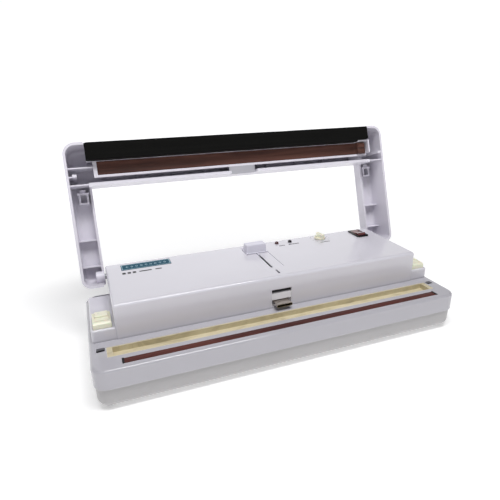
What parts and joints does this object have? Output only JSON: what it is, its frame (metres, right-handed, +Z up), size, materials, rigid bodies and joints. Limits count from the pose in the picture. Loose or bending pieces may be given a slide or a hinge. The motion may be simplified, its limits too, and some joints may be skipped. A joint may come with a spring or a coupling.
{
  "type": "vacuum sealer",
  "caption": "Countertop nozzle vacuum sealer with a U-shaped hinged lid, heating strip, suction trough, slide-out nozzle, timer dial and rocker switch, lid open.",
  "frame": {"origin": "middle of the open sealer's footprint, on the plane under the rubber feet", "axes": "+X to the user's right along the heating strip, +Y to the rear, +Z up"},
  "size_m": [0.39, 0.1994, 0.2109],
  "materials": {
    "white_housing": "glossy moulded ABS",
    "white_tray": "satin moulded ABS",
    "white_lid": "glossy moulded ABS",
    "light_grey_plastic": "matte",
    "handle_plastic": "satin",
    "ivory_plastic": "satin",
    "beige_liner": "mottled matte",
    "brown_cover": "woven non-stick cloth, satin",
    "brown_rubber": "silicone rubber, matte",
    "black_foam": "closed-cell foam, matte",
    "dark_plastic": "matte",
    "black_rubber": "matte",
    "bakelite": "matte",
    "steel": "zinc plated",
    "nickel": "nickel plated",
    "nichrome": "bare ribbon",
    "brass": "turned",
    "silicone_hose": "translucent silicone",
    "black_plastic": "glossy",
    "red_rocker": "translucent dark red",
    "red_lens": "translucent dark red",
    "dark_lens": "smoked",
    "teal_badge": "printed film on thin aluminium",
    "circuit_board": "solder mask",
    "lamination": "varnished lamination stack",
    "winding_tape": "yellow winding tape"
  },
  "bodies": {
    "base": {"base_tray": "white_tray", "rubber_feet": "black_rubber", "base_screws": "steel", "cord_gland": "black_rubber", "upper_housing": "white_housing", "hinge_pins": "steel", "trough_liner": "beige_liner", "heater_bar": "bakelite", "heater_element": "nichrome", "heater_cover": "brown_cover", "heater_end_clamps": "dark_plastic", "nozzle_guide": "handle_plastic", "slide_rails": "steel", "rail_bracket": "light_grey_plastic", "nozzle_sleeve": "light_grey_plastic", "pump_motor": "steel", "pump_case": "black_plastic", "pump_head": "black_plastic", "pump_head_screws": "steel", "vacuum_hose": "silicone_hose", "pump_cradle": "steel", "pump_mounts": "black_rubber", "transformer_core": "lamination", "transformer_winding": "winding_tape", "transformer_strap": "steel", "transformer_screws": "steel", "control_board": "circuit_board", "board_screws": "steel", "board_parts": "black_plastic", "vacuum_lamp": "red_lens", "seal_lamp": "dark_lens", "lamp_holders": "black_plastic", "timer_pot": "steel", "power_bezel": "black_plastic", "power_terminals": "brass", "badge_plate": "teal_badge", "latch_spring_right": "steel", "latch_spring_left": "steel", "lid_switches": "black_plastic"},
    "lid": {"lid_shell": "white_lid", "hinge_bushes": "brass", "lid_foam": "black_foam", "foam_strip": "white_lid", "pad_channel": "white_lid", "channel_spacers": "light_grey_plastic", "channel_screws": "steel", "brown_pad": "brown_rubber", "nozzle_saddle": "light_grey_plastic"},
    "nozzle_slider": {"nozzle": "nickel", "nozzle_carriage": "black_plastic", "slider_handle": "handle_plastic"},
    "timer": {"timer_knob": "ivory_plastic", "timer_spindle": "brass"},
    "power_rocker_body": {"power_rocker": "red_rocker"},
    "right_latch": {"latch_right": "ivory_plastic"},
    "left_latch": {"latch_left": "ivory_plastic"},
    "right_plunger": {"switch_plunger_right": "dark_plastic"},
    "left_plunger": {"switch_plunger_left": "dark_plastic"},
    "pump_rotor": {"pump_shaft": "steel"}
  },
  "joints": [
    {"name": "lid_hinge", "type": "hinge", "parent": "base", "child": "lid", "pos_m": [0, 0.04428, 0.0668], "axis": [1, 0, 0], "range_deg": [0, 108.57], "deforming": ["lid_foam"]},
    {"name": "nozzle_slide", "type": "slide", "parent": "base", "child": "nozzle_slider", "axis": [0, -1, 0], "range_m": [0, 0.036]},
    {"name": "timer_turn", "type": "hinge", "parent": "base", "child": "timer", "pos_m": [0.0925, 0.03288, 0.08], "axis": [0, 0, 1], "range_deg": [-135, 135]},
    {"name": "power_rock", "type": "hinge", "parent": "base", "child": "power_rocker_body", "pos_m": [0.1465, 0.02838, 0.0759], "axis": [1, 0, 0], "range_deg": [0, 16]},
    {"name": "right_latch_press", "type": "slide", "parent": "base", "child": "right_latch", "axis": [0, 0, -1], "range_m": [0, 0.0025], "stiffness_N_per_m": 800, "springref_m": -0.0005, "deforming": ["latch_spring_right"]},
    {"name": "left_latch_press", "type": "slide", "parent": "base", "child": "left_latch", "axis": [0, 0, -1], "range_m": [0, 0.0025], "stiffness_N_per_m": 800, "springref_m": -0.0005, "deforming": ["latch_spring_left"]},
    {"name": "right_plunger_press", "type": "slide", "parent": "base", "child": "right_plunger", "axis": [0, 0, -1], "range_m": [0, 0.002], "stiffness_N_per_m": 300, "springref_m": -0.0005},
    {"name": "left_plunger_press", "type": "slide", "parent": "base", "child": "left_plunger", "axis": [0, 0, -1], "range_m": [0, 0.002], "stiffness_N_per_m": 300, "springref_m": -0.0005},
    {"name": "pump_spin", "type": "hinge", "parent": "base", "child": "pump_rotor", "pos_m": [-0.13, 0.01488, 0.033], "axis": [1, 0, 0], "continuous": true}
  ]
}
